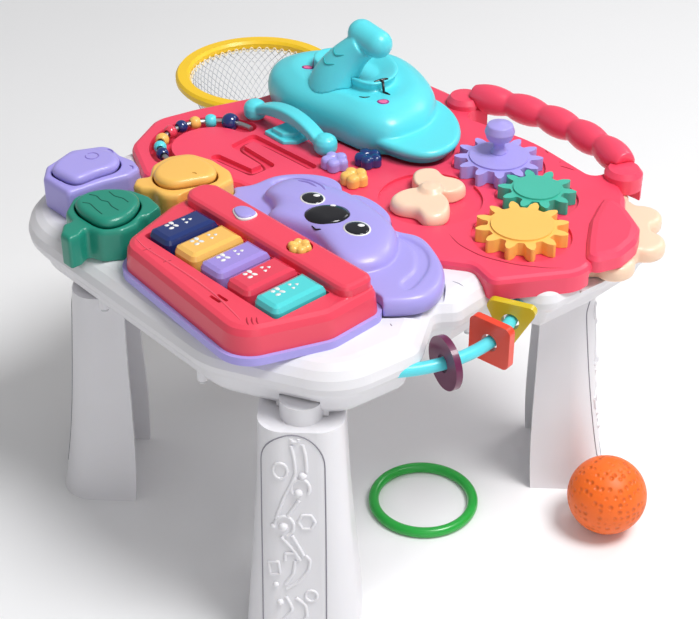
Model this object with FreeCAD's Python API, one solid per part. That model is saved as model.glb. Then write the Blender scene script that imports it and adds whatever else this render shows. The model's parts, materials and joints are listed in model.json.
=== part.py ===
import FreeCAD, Part
import math
import os
from FreeCAD import Vector

# Musical activity table. Millimetres, +Z up, X along the piano, +Y towards the carry handle.
# Plan coordinates are taken from the middle of the deck; ORIGIN moves them to the footprint centre.
ORIGIN = (-98.0, 45.25)

# Heights
TRAY_BOTTOM = 188.0
SEAM = 208.0
DECK_TOP = 236.0
CAVITY_ROOF = 229.0
BOARD_BOTTOM = 226.0
BOARD_CAVITY_ROOF = 222.0
BOARD_TOP = 243.0
WALL = 3.0
RUN = 0.08
GAP = 0.5
EPS = 1.0

# Deck and tray outline: corner x, corner y, corner radius
DECK = [(-238, -152, 66), (24, -156, 62), (112, -112, 48), (120, -46, 16), (93, -6, 7),
        (104, 8, 12), (101, 54, 7), (134, 68, 16), (139, 130, 60), (136, 206, 54), (84, 208, 16),
        (-104, 207, 18), (-130, 229, 20), (-190, 226, 40), (-228, 162, 40), (-241, 70, 90)]
DECK_RISE = [(0.0, 9.0), (3.0, 4.0), (8.0, 0.8), (13.0, 0.0), (19.0, 2.0), (24.0, 6.5), (27.0, 12.0), (28.0, 17.0)]

# Red play board outline
BOARD = [(-180, -52, 14), (-229, -29, 20), (-253, 14, 26), (-246, 48, 30), (-230, 98, 24), (-224, 146, 30),
         (-184, 226, 44), (-128, 228, 34), (56, 225, 30), (94, 200, 22), (132, 152, 40), (141, 92, 26),
         (106, 37, 9), (82, 44, 12), (44, 18, 10), (-90, -2, 10), (-126, -4, 18)]
# Tail lobe that covers the inner half of the finger wheel
TAIL = [(84, 188, 8), (110, 182, 22), (134, 168, 16), (145, 150, 16), (149, 128, 16), (139, 99, 8), (119, 123.5, 24),
        (102, 147, 24), (91, 170, 20)]
TAIL_TOP = 248.0

# Carry handle, bent about an arc in plan
HANDLE_ARC = (-12.0, 24.0, 219.0)
HANDLE_Z = 250.0
HANDLE_R = 12.5
HANDLE_WAIST = 9.0
HANDLE_KNOBS = 5
HANDLE_STEP = 8.6
HAND_HOLE = [(-96, 201, 10), (-66, 240, 14), (-12, 256, 60), (46, 240, 14), (70, 201, 10), (-12, 213, 120)]

# Gears
MODULE = 5.1
PRESSURE = math.radians(27)
GEAR_Z = (241.0, 251.5)
POST_R = 5.0
PURPLE_GEAR = (-4.0, 162.6, 12)
GREEN_GEAR = (50.0, 147.0, 10)
YELLOW_GEAR = (78.7, 98.7, 12)

# Finger wheel under the tail lobe
WHEEL = (85.0, 153.0)
WHEEL_R = 56.0
WHEEL_LOBES = 9
WHEEL_LOBE_R = 15.5
WHEEL_Z = (220.5, 234.0)

# Heart spinner, flower spinners, bead track, finger maze
SPINNER = (-4.0, 87.0)
FLOWERS = {"flower_purple": (-90, 67), "flower_yellow": (-61, 61), "flower_navy": (-76, 90)}
FLOWER_R = 8.2
TRACK = (-184.0, 18.0, 41.0)
TRACK_SPAN = (98.0, 257.0)
RAIL_R = 2.2
BEADS = [("bead_navy_front", 250.0, 5.2), ("bead_cyan_front", 233.5, 5.2), ("bead_yellow_front", 216.0, 5.6),
         ("bead_red", 196.0, 5.6), ("bead_navy_middle", 178.0, 5.4), ("bead_yellow_back", 160.5, 5.4),
         ("bead_cyan_back", 142.0, 5.8), ("bead_navy_large", 119.0, 7.6)]
MAZE = [(-166, 9), (-128, 13), (-128, 31), (-170, 33), (-172, 52), (-104, 54)]
MAZE_HALF = 4.5

# Piano
CASE = [(-110, -43, 16), (-107, -82, 12), (-88, -141, 20), (58, -154, 24), (82, -92, 22), (80, -43, 10)]
CASE_Z = (242.0, 262.0)
BASE_BAND = 3.0
KEY_X0 = -81.5
KEY_PITCH = 29.0
KEY_W = 25.8
KEY_Y = (-122.0, -76.0)
KEY_Z = (252.0, 268.0)
KEY_TURN = 4.0
KEYS = ["key_navy", "key_yellow", "key_purple", "key_red", "key_cyan"]
KEY_WELL_Z = 246.0
BAR_Y = (-74.5, -46.0)
BAR_TOP = 270.0
MODE_BUTTON = (-44.5, -61.5)
VOLUME_BUTTON = (13.5, -60.0)

# Legs: place at the floor and at the tray
LEGS = {"leg_front_left": (-162, -121, 225), "leg_front_right": (82, -121, 315),
        "leg_back_right": (82, 164, 45), "leg_back_left": (-162, 164, 135)}
LEG_SECTIONS = [(0.0, 4.0, 42.0, 62.0), (14.0, 2.0, 41.0, 60.0), (90.0, -4.0, 35.0, 50.0), (190.5, -9.0, 30.0, 42.0)]
LEG_WALL = 4.0

# Ball hoop with its hanging net
HOOP = (-313.0, 173.0, 210.0)
HOOP_R = (62.0, 75.0)
NET_R = (63.5, 34.0)
NET_Z = (206.0, 148.0)
NET_WALL = 1.4

# Ring rail on the side wall
TUBE = (30.0, -1.0, 102.5, 217.0)
TUBE_R = 4.6
TUBE_SPAN = (-42.0, 42.0)
RING_ANGLES = {"rail_disc": -16.5, "rail_square": 7.0, "rail_triangle": 24.0}

# Loose pieces
BALL = (162.0, 125.0, 31.0)
LOOSE_RING = (46.0, 38.0, 4.2, 40.0)

# Bead track heights
BEAD_Z = BOARD_TOP + 1.0
SLOT_FLOOR = BOARD_TOP - 9.0

# Koala pad: plate, head and the hollow of each ear
KOALA = [(-103, -40), (-108, -30), (-113, -20), (-108, -8), (-106, 13), (-97, 31), (-77, 46), (-57, 44), (-45, 38),
         (-42, 42), (-30, 47), (-10, 45), (3, 39), (9, 33), (19, 29), (34, 35), (56, 31), (81, 16), (93, 0),
         (96, -17), (88, -34), (77, -46), (66, -52), (55, -48), (30, -47), (-30, -47), (-80, -47)]
KOALA_C = (-6.0, -8.0)
KOALA_SEAT = DECK_TOP - 0.8
PRESS = 2.7
KOALA_RISE = [(KOALA_SEAT, 0.985), (240.0, 1.0), (246.0, 0.995), (249.0, 0.972), (250.0, 0.935)]
KOALA_HEAD = [(-57, -28), (-70, -17), (-80, -14), (-86, 2), (-82, 18), (-60, 26), (-40, 31), (-18, 31), (6, 28),
              (25, 22), (41, 8), (50, -11), (47, -27), (38, -37), (24, -37), (6, -32), (-20, -29)]
KOALA_HEAD_C = (-17.0, -3.0)
KOALA_HEAD_RISE = [(246.0, 1.0), (252.0, 1.0), (256.0, 0.965), (259.0, 0.9), (261.0, 0.8), (262.3, 0.63), (262.9, 0.4)]
KOALA_EARS = [[(-97, 10), (-92, 24), (-76, 33), (-61, 31), (-63, 28), (-77, 24), (-88, 14), (-92, 5)],
              [(24, 24), (38, 27), (56, 23), (70, 11), (78, -4), (80, -22), (74, -20), (68, -4), (60, 8), (48, 18),
               (36, 21)]]
EAR_FLOOR = 248.2

# Elephant drum: head, two ears and the trunk spine (x, y, z, radius)
DRUM_Z = BOARD_TOP - 0.4
HEAD = [(-205, 99), (-221, 110), (-230, 128), (-226, 148), (-212, 168), (-196, 186), (-178, 199), (-156, 206),
        (-135, 203), (-110, 193), (-87, 177), (-77, 164), (-70, 148), (-69, 130), (-73, 111), (-87, 101), (-117, 97),
        (-152, 93), (-182, 92)]
HEAD_C = (-148.0, 148.0)
HEAD_RISE = [(DRUM_Z, 0.965), (249.0, 0.985), (257.0, 1.0), (263.5, 0.985), (268.5, 0.95), (272.5, 0.89), (276.0, 0.8),
             (278.7, 0.66), (280.3, 0.45), (280.8, 0.25)]
EAR_RIGHT = [(-96, 190), (-75, 184), (-53, 170), (-39, 154), (-33, 136), (-37, 119), (-48, 110), (-64, 105), (-83, 103),
             (-100, 106), (-108, 140), (-106, 172)]
EAR_RIGHT_C = (-82.0, 143.0)
EAR_RIGHT_RISE = [(DRUM_Z, 0.74), (246.5, 0.86), (250.5, 0.95), (254.5, 1.0), (257.0, 0.975), (258.3, 0.92)]
EAR_LEFT = [(-203, 90), (-188, 87), (-176, 92), (-182, 120), (-210, 138), (-234, 132), (-241, 118), (-226, 100)]
EAR_LEFT_C = (-207.0, 110.0)
EAR_LEFT_RISE = [(DRUM_Z, 0.88), (247.0, 0.96), (252.0, 1.0), (256.0, 0.97), (257.6, 0.88)]
TRUNK = [(-153, 121, 264, 21.5), (-152, 122, 276, 20), (-147, 126, 290, 17), (-140, 131, 302, 14), (-131, 136, 312, 12)]
TRUNK_TIP = (-127.0, 139.0, 318.0)
TRUNK_TIP_R = 11.5
TRUNK_TIP_HALF = 9.5

# Handset: the two ends, grip rise and grip width
HANDSET_ENDS = [(-197, 75), (-112, 77)]
HANDSET_END_R = 9.5
HANDSET_Z = BOARD_TOP + 1.3
HANDSET_RISE = 14.0
HANDSET_W = 13.0

# Animal blocks: base corners, button outline and button centre
BLOCK_TOP = 262.0
FISH = [(-126, -165, 2), (-136, -156, 3), (-135, -149, 3), (-149, -145, 8), (-163, -128, 10), (-162, -112, 12),
        (-156, -102, 12), (-143, -90, 12), (-126, -85.5, 12), (-109, -88, 8), (-101, -98, 6), (-106, -108, 4),
        (-99, -117, 6), (-99, -130, 8), (-108, -143, 8), (-120, -147, 3), (-115, -156, 3), (-115, -165, 2)]
FISH_BUTTON = [(-146, -138), (-153, -131), (-153, -116), (-146, -105), (-136, -97), (-119, -99), (-111, -108),
               (-105, -124), (-109, -137), (-124, -141)]
FISH_C = (-130.0, -119.0)
HIPPO = [(-203, -128, 4), (-216, -117, 5), (-219, -106, 8), (-225, -88, 10), (-212, -61, 12), (-192, -64, 10),
         (-178, -61, 8), (-165, -65, 7), (-162, -78, 6), (-167, -98, 14), (-170, -128, 4)]
HIPPO_BUTTON = [(-204, -119), (-211, -108), (-213, -90), (-208, -78), (-194, -71), (-180, -73), (-173, -82),
                (-174, -100), (-176, -117), (-190, -121)]
HIPPO_C = (-192.0, -97.0)
CHICK = [(-148, -85, 4), (-155, -77, 4), (-150, -68, 3), (-163, -56, 12), (-166, -38, 14), (-158, -22, 14),
         (-138, -16, 14), (-115, -17, 10), (-103, -24, 7), (-101, -40, 8), (-106, -64, 14), (-119, -79, 12),
         (-133, -78, 8), (-140, -84, 4)]
CHICK_BUTTON = [(-145, -68), (-152, -58), (-154, -43), (-150, -32), (-134, -27), (-119, -28), (-110, -37), (-113, -50),
                (-117, -60), (-122, -68), (-133, -72)]
CHICK_C = (-134.0, -49.0)

# Tray fittings: battery door corners, speaker centre and grille, case screws
DOOR = [(-92, 40, 5), (-22, 40, 5), (-22, 108, 5), (-92, 108, 5)]
SPEAKER = (-20.0, -90.0)
SPEAKER_Z = TRAY_BOTTOM + WALL + EPS
SCREWS = [(-215, -60), (-215, 60), (-120, -138), (0, -140), (84, 40), (20, 188), (-80, 188)]

parts = {}


def turn(a):
    return Vector(math.cos(math.radians(a)), math.sin(math.radians(a)), 0)


def inset(corners, d):
    """Move every side of an outline inwards by d; corners listed counter-clockwise or clockwise."""
    n = len(corners)
    area = sum(corners[i][0] * corners[(i + 1) % n][1] - corners[(i + 1) % n][0] * corners[i][1] for i in range(n))
    side = 1.0 if area > 0 else -1.0
    out = []
    for i in range(n):
        p0 = Vector(*corners[i - 1][:2], 0)
        p1 = Vector(*corners[i][:2], 0)
        p2 = Vector(*corners[(i + 1) % n][:2], 0)
        u = (p1 - p0).normalize()
        v = (p2 - p1).normalize()
        nu = Vector(-u.y, u.x, 0) * side
        nv = Vector(-v.y, v.x, 0) * side
        bis = (nu + nv).normalize()
        move = p1 + bis * (d / max(bis.dot(nu), 0.2))
        convex = u.cross(v).z * side > 0
        out.append((move.x, move.y, max(corners[i][2] + (-d if convex else d), 0.6)))
    return out


def outline(corners, z=0.0):
    """Closed wire whose corners are arcs of the radii given, kept within the sides."""
    n = len(corners)
    trims = []
    for i in range(n):
        p0, p1, p2 = (Vector(*corners[(i + k) % n][:2], z) for k in (-1, 0, 1))
        a = (p0 - p1)
        b = (p2 - p1)
        half = a.getAngle(b) / 2
        cut = corners[i][2] / math.tan(half)
        cut = min(cut, 0.49 * a.Length, 0.49 * b.Length)
        r = cut * math.tan(half)
        s = p1 + a.normalize() * cut
        e = p1 + b.normalize() * cut
        bis = (a + b).normalize()
        m = p1 + bis * (r / math.sin(half) - r)
        trims.append((s, m, e))
    edges = []
    for i in range(n):
        s, m, e = trims[i]
        edges.append(Part.Arc(s, m, e).toShape())
        nxt = trims[(i + 1) % n][0]
        if (nxt - e).Length > 1e-4:
            edges.append(Part.LineSegment(e, nxt).toShape())
    return Part.Wire(edges)


def slab(corners, z0, z1):
    return Part.Face(outline(corners, z0)).extrude(Vector(0, 0, z1 - z0))


def blob(points, z=0.0):
    """Closed smooth curve through points."""
    curve = Part.BSplineCurve()
    curve.interpolate([Vector(x, y, z) for x, y in points], PeriodicFlag=True)
    return Part.Wire([curve.toShape()])


def about(shape, centre, kx, ky=None):
    m = FreeCAD.Matrix()
    m.move(Vector(-centre[0], -centre[1], 0))
    m.scale(kx, ky or kx, 1)
    m.move(Vector(centre[0], centre[1], 0))
    return shape.transformGeometry(m)


def swell(points, centre, steps):
    """Soft form: the outline drawn in at each height by the scale given."""
    wires = [about(blob(points, z), centre, k) for z, k in steps]
    return Part.makeLoft(wires, True, False)


def crowned(corners, steps):
    """Moulded form: the outline inset by a distance at each height."""
    return Part.makeLoft([outline(inset(corners, d), z) for z, d in steps], True, True)


def rod(x, y, z0, z1, r):
    return Part.makeCylinder(r, z1 - z0, Vector(x, y, z0))


def pocket(points, centre, floor, grow=1.01):
    """Room with an open top, a little larger than the outline."""
    return Part.Face(about(blob(points, floor), centre, grow)).extrude(Vector(0, 0, 60))


def block_room(corners, floor=DECK_TOP):
    return slab(inset(corners, -GAP), floor, floor + 60)


def fuse(first, *others):
    return first.fuse(list(others)).removeSplitter()


def cut(first, *others):
    return first.cut(list(others))


def lathe(profile, centre):
    """Solid of revolution about the vertical through centre, from (radius, height) pairs."""
    pts = [Vector(centre[0] + r, centre[1], z) for r, z in profile]
    face = Part.Face(Part.makePolygon(pts + [pts[0]]))
    return face.revolve(Vector(centre[0], centre[1], 0), Vector(0, 0, 1), 360)


def bar_between(p, q, r):
    axis = q - p
    return Part.makeCylinder(r, axis.Length, p, axis)


def deck_shell():
    steps = [(SEAM + rise, d) for rise, d in DECK_RISE]
    shell = crowned(DECK, steps)
    room = slab(inset(DECK, 9.0 + WALL), SEAM - EPS, CAVITY_ROOF)
    under = slab(inset(BOARD, -WALL), BOARD_CAVITY_ROOF, CAVITY_ROOF + EPS)
    shell = cut(shell, cut(room, under))
    seat = slab(inset(BOARD, -0.15), BOARD_BOTTOM, DECK_TOP + EPS)
    wheel_well = rod(*WHEEL, WHEEL_Z[0] - 0.8, DECK_TOP + EPS, WHEEL_R + WHEEL_LOBE_R + 3)
    shell = cut(shell, seat, wheel_well)
    well_floor = rod(*WHEEL, WHEEL_Z[0] - 0.8 - WALL, WHEEL_Z[0] - 0.8, WHEEL_R + WHEEL_LOBE_R + 3)
    well_floor = well_floor.common(slab(inset(DECK, 6.0), SEAM, DECK_TOP))
    post = rod(*WHEEL, WHEEL_Z[0] - 1.0, WHEEL_Z[1] + 0.5, 8.0)
    shell = fuse(shell, well_floor, post)
    shell = cut(shell, pocket(KOALA, KOALA_C, KOALA_SEAT - PRESS))
    shell = shell.cut(rail_pipe(TUBE_R + 0.05, TUBE_SPAN[0] - 3, TUBE_SPAN[1] + 3))
    return max(shell.Solids, key=lambda s: s.Volume)


def tube_end(a):
    """Point and direction of the ring rail at angle a."""
    p = Vector(TUBE[0], TUBE[1], TUBE[3]) + turn(a) * TUBE[2]
    return p, turn(a + 90)


def rail_pipe(r, a0, a1):
    """Round bar bent along the rail circle."""
    circle = Part.Arc(*[tube_end(a)[0] for a in (a0, 0, a1)]).toShape()
    p, d = tube_end(a0)
    section = Part.Wire([Part.makeCircle(r, p, d)])
    return Part.Wire([circle]).makePipeShell([section], True, True)


def tray_shell():
    corners = inset(DECK, 9.0)
    rise = [(TRAY_BOTTOM, 15.0), (TRAY_BOTTOM + 3, 8.0), (TRAY_BOTTOM + 9, 3.0), (SEAM, 0.0)]
    shell = crowned(corners, rise)
    room = slab(inset(corners, 16.0), TRAY_BOTTOM + WALL, SEAM + EPS)
    shell = shell.cut(room)
    for x, y, a in LEGS.values():
        lean = turn(a) * LEG_SECTIONS[-1][1]
        shell = shell.fuse(rod(x + lean.x, y + lean.y, TRAY_BOTTOM + 1, SEAM - 1, 19.0).common(
            slab(inset(corners, 6), TRAY_BOTTOM, SEAM)))
        shell = shell.cut(rod(x + lean.x, y + lean.y, TRAY_BOTTOM - EPS, SEAM - 4, 15.1))
    door = slab(DOOR, TRAY_BOTTOM - EPS, TRAY_BOTTOM + WALL + EPS)
    grille = [rod(SPEAKER[0] + r * turn(a).x, SPEAKER[1] + r * turn(a).y, TRAY_BOTTOM - EPS, SPEAKER_Z, 2.0)
              for r, n in ((0, 1), (9, 6), (18, 12)) for a in [360.0 / n * k for k in range(n)]]
    screws = [rod(x, y, TRAY_BOTTOM - EPS, SEAM, 1.6) for x, y in SCREWS]
    bosses = [rod(x, y, TRAY_BOTTOM + 1, SEAM, 4.0) for x, y in SCREWS]
    shell = shell.fuse(bosses)
    return cut(shell, door, *grille, *screws).removeSplitter()


def leg(name, x, y, a):
    out = turn(a)
    side = turn(a + 90)
    wires = []
    for z, lean, half_w, depth in LEG_SECTIONS:
        centre = Vector(x, y, z) + out * lean
        nose = depth * 0.5
        back = -depth * 0.5

        def at(u, w):
            return centre + out * u + side * w

        t = LEG_WALL
        r = half_w * 0.62
        q = r * (1 - math.sqrt(0.5))
        k = (r - t) * (1 - math.sqrt(0.5))
        edges = [
            Part.LineSegment(at(back, half_w), at(nose - r, half_w)),
            Part.Arc(at(nose - r, half_w), at(nose - q, half_w - q), at(nose, half_w - r)),
            Part.LineSegment(at(nose, half_w - r), at(nose, r - half_w)),
            Part.Arc(at(nose, r - half_w), at(nose - q, q - half_w), at(nose - r, -half_w)),
            Part.LineSegment(at(nose - r, -half_w), at(back, -half_w)),
            Part.LineSegment(at(back, -half_w), at(back, t - half_w)),
            Part.LineSegment(at(back, t - half_w), at(nose - r, t - half_w)),
            Part.Arc(at(nose - r, t - half_w), at(nose - t - k, t + k - half_w), at(nose - t, r - half_w)),
            Part.LineSegment(at(nose - t, r - half_w), at(nose - t, half_w - r)),
            Part.Arc(at(nose - t, half_w - r), at(nose - t - k, half_w - t - k), at(nose - r, half_w - t)),
            Part.LineSegment(at(nose - r, half_w - t), at(back, half_w - t)),
            Part.LineSegment(at(back, half_w - t), at(back, half_w))]
        wires.append(Part.Wire([e.toShape() for e in edges]))
    shell = Part.makeLoft(wires, True, False)
    shell = shell.common(Part.makeBox(900, 900, TRAY_BOTTOM, Vector(-500, -400, 0)))
    top = Vector(x, y, 0) + out * LEG_SECTIONS[-1][1]
    cap = slab_oriented(top, out, side, LEG_SECTIONS[-1][2] - 2, LEG_SECTIONS[-1][3] / 2 - 1.5)
    plug = rod(top.x, top.y, TRAY_BOTTOM - 2, SEAM - 6, 15.0)
    return fuse(shell, cap, plug)


def slab_oriented(centre, out, side, half_w, half_d):
    pts = [(-half_d, half_w), (half_d - 12, half_w), (half_d, half_w - 14), (half_d, 14 - half_w),
           (half_d - 12, -half_w), (-half_d, -half_w)]
    wire = Part.makePolygon([centre + out * u + side * w + Vector(0, 0, TRAY_BOTTOM - 5) for u, w in pts + pts[:1]])
    return Part.Face(wire).extrude(Vector(0, 0, 5))


def gear_outline(teeth, phase, grow=0.0):
    """Involute teeth with rounded tips and roots."""
    rp = MODULE * teeth / 2
    rb = rp * math.cos(PRESSURE)
    tip = rp + 4.2
    root = rp - 5.2
    half = (math.pi * MODULE / 2 - 0.9) / (2 * rp)

    def inv(r):
        g = math.acos(min(1.0, rb / r))
        return math.tan(g) - g

    def flank(r):
        return half + inv(rp) - inv(max(r, rb))

    corners = []
    for k in range(teeth):
        mid = math.radians(phase) + 2 * math.pi * k / teeth
        shape = [(root, -flank(rb), 1.6), (rp, -flank(rp), 6.0), (tip, -flank(tip), 1.5),
                 (tip, flank(tip), 1.5), (rp, flank(rp), 6.0), (root, flank(rb), 1.6)]
        corners += [(r * math.cos(mid + a), r * math.sin(mid + a), c) for r, a, c in shape]
    return corners


def gear(place, phase):
    x, y, teeth = place
    corners = [(x + px, y + py, c) for px, py, c in gear_outline(teeth, phase)]
    body = slab(corners, *GEAR_Z)
    rp = MODULE * teeth / 2
    body = fuse(body, rod(x, y, GEAR_Z[1] - EPS, GEAR_Z[1] + 1.4, rp - 7.5))
    return body.cut(rod(x, y, GEAR_Z[0] - EPS, 249.0, POST_R + RUN))


def gear_phases():
    to_green = math.degrees(math.atan2(GREEN_GEAR[1] - PURPLE_GEAR[1], GREEN_GEAR[0] - PURPLE_GEAR[0]))
    to_yellow = math.degrees(math.atan2(YELLOW_GEAR[1] - GREEN_GEAR[1], YELLOW_GEAR[0] - GREEN_GEAR[0]))
    pitch = 360.0 / GREEN_GEAR[2]
    green = to_green + 180 + pitch / 2
    near = round((to_yellow - green) / pitch)
    off = green + near * pitch - to_yellow
    yellow = to_yellow + 180 - off * GREEN_GEAR[2] / YELLOW_GEAR[2] + 180.0 / YELLOW_GEAR[2]
    return to_green, green, yellow


def finger_wheel():
    disc = rod(*WHEEL, *WHEEL_Z, WHEEL_R)
    lobes = []
    for k in range(WHEEL_LOBES):
        d = turn(360.0 / WHEEL_LOBES * k + 22) * (WHEEL_R - 2)
        x, y = WHEEL[0] + d.x, WHEEL[1] + d.y
        r = WHEEL_LOBE_R
        z0, z1 = WHEEL_Z
        lobes.append(lathe([(0, z0), (r - 3, z0), (r, z0 + 3), (r, z1 - 4), (r - 1.2, z1 - 1.2), (r - 4, z1), (0, z1)],
                           (x, y)))
    wheel = disc.fuse(lobes).removeSplitter()
    return wheel.cut(rod(*WHEEL, WHEEL_Z[0] - EPS, WHEEL_Z[1] + EPS, 8.0 + RUN))


def track_point(a, z):
    return Vector(TRACK[0], TRACK[1], z) + turn(a) * TRACK[2]


def arc_band(r0, r1, a0, a1, z0, z1):
    """Upright wall between two radii of the bead track, with round ends."""
    mid = (a0 + a1) / 2
    half = (r1 - r0) / 2
    rc = (r0 + r1) / 2

    def at(r, a):
        return Vector(TRACK[0], TRACK[1], z0) + turn(a) * r

    edges = [Part.Arc(at(r1, a0), at(r1, mid), at(r1, a1)),
             Part.Arc(at(r1, a1), at(rc, a1) + turn(a1 + 90) * half, at(r0, a1)),
             Part.Arc(at(r0, a1), at(r0, mid), at(r0, a0)),
             Part.Arc(at(r0, a0), at(rc, a0) - turn(a0 + 90) * half, at(r1, a0))]
    return Part.Face(Part.Wire([e.toShape() for e in edges])).extrude(Vector(0, 0, z1 - z0))


def maze_cut():
    runs = []
    for (x0, y0), (x1, y1) in zip(MAZE, MAZE[1:]):
        p = Vector(x0, y0, BOARD_TOP - 4)
        q = Vector(x1, y1, BOARD_TOP - 4)
        along = (q - p).normalize()
        across = Vector(-along.y, along.x, 0) * MAZE_HALF
        face = Part.Face(Part.makePolygon([p + across, p - across, q - across, q + across, p + across]))
        runs.append(face.extrude(Vector(0, 0, 9)))
    ends = [rod(x, y, BOARD_TOP - 4, BOARD_TOP + 5, MAZE_HALF) for x, y in MAZE]
    return runs[0].fuse(runs[1:] + ends).removeSplitter()


def play_board():
    steps = [(BOARD_BOTTOM, 0.0), (BOARD_TOP - 4, 0.0), (BOARD_TOP - 1.2, 1.2), (BOARD_TOP, 4.0)]
    board = crowned(BOARD, steps)
    wheel_room = rod(*WHEEL, BOARD_BOTTOM - EPS, WHEEL_Z[1] + 1.0, WHEEL_R + WHEEL_LOBE_R + 1.5)
    board = board.cut(wheel_room)
    tail = crowned(TAIL, [(WHEEL_Z[1] + 1.0, 0.0), (TAIL_TOP - 4, 0.5), (TAIL_TOP - 1, 3.0), (TAIL_TOP, 7.0)])
    clear = [rod(x, y, BOARD_TOP, TAIL_TOP + EPS, MODULE * n / 2 + 8.0) for x, y, n in (GREEN_GEAR, YELLOW_GEAR)]
    board = board.fuse(tail.cut(clear))
    lugs = []
    for s in (-1, 1):
        a = 90 + s * (HANDLE_STEP * HANDLE_KNOBS / 2 + 1.5)
        p = Vector(HANDLE_ARC[0], HANDLE_ARC[1], 0) + turn(a) * HANDLE_ARC[2]
        lugs.append(lathe([(0, BOARD_BOTTOM), (15, BOARD_BOTTOM), (15, BOARD_TOP + 4), (12, BOARD_TOP + 8), (0, BOARD_TOP + 9)],
                          (p.x, p.y - 4)))
    board = board.fuse([cut(lug, wheel_room) for lug in lugs])
    hole = slab(HAND_HOLE, BOARD_BOTTOM - 40, BOARD_TOP + 20)
    tool = [maze_cut(), arc_band(TRACK[2] - 9, TRACK[2] + 9, *TRACK_SPAN, SLOT_FLOOR, BOARD_TOP + 9)]
    for x, y, n in (PURPLE_GEAR, GREEN_GEAR, YELLOW_GEAR):
        tool.append(rod(x, y, BOARD_TOP - 2.4, BOARD_TOP + 12, MODULE * n / 2 + 6.6))
    tool.append(rod(*SPINNER, BOARD_TOP - 2.4, BOARD_TOP + 9, 40.0))
    press = BOARD_TOP - 3.7
    tool += [pocket(HEAD, HEAD_C, press), pocket(EAR_LEFT, EAR_LEFT_C, press), pocket(EAR_RIGHT, EAR_RIGHT_C, press, 0.9)]
    tool += [pocket(KOALA, KOALA_C, KOALA_SEAT - PRESS), block_room(CHICK)]
    board = cut(board, *tool)
    posts = [rod(x, y, BOARD_TOP - 3, 248.5, POST_R) for x, y, n in (PURPLE_GEAR, GREEN_GEAR, YELLOW_GEAR)]
    posts.append(rod(*SPINNER, BOARD_TOP - 3, 248.5, POST_R))
    posts += [rod(x, y, BOARD_TOP - EPS, BOARD_TOP + 5.0, 2.6) for x, y in FLOWERS.values()]
    saddles = [rod(x, y, BOARD_TOP - EPS, HANDSET_Z, HANDSET_END_R - 3) for x, y in HANDSET_ENDS]
    board = board.fuse(posts + saddles)
    board = board.cut(hole)
    return max(board.removeSplitter().Solids, key=lambda s: s.Volume)


def carry_handle(board):
    pieces = []
    for k in range(HANDLE_KNOBS):
        a = 90 + (k - (HANDLE_KNOBS - 1) / 2) * HANDLE_STEP
        mid = Vector(HANDLE_ARC[0], HANDLE_ARC[1], HANDLE_Z) + turn(a) * HANDLE_ARC[2]
        along = turn(a + 90)
        half = HANDLE_ARC[2] * math.radians(HANDLE_STEP) / 2
        profile = [Vector(0, 0, -half - 1.5), Vector(HANDLE_WAIST, 0, -half - 1.5)]
        knob_arc = Part.Arc(Vector(HANDLE_WAIST, 0, -half - 1.5), Vector(HANDLE_R, 0, 0), Vector(HANDLE_WAIST, 0, half + 1.5))
        edges = [Part.LineSegment(profile[0], profile[1]).toShape(), knob_arc.toShape(),
                 Part.LineSegment(Vector(HANDLE_WAIST, 0, half + 1.5), Vector(0, 0, half + 1.5)).toShape(),
                 Part.LineSegment(Vector(0, 0, half + 1.5), profile[0]).toShape()]
        barrel = Part.Face(Part.Wire(edges)).revolve(Vector(0, 0, 0), Vector(0, 0, 1), 360)
        spin = FreeCAD.Rotation(Vector(0, 0, 1), along)
        barrel.Placement = FreeCAD.Placement(mid, spin)
        pieces.append(barrel)
    handle = pieces[0].fuse(pieces[1:]).removeSplitter()
    return max(handle.cut(board).Solids, key=lambda s: s.Volume)


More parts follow.
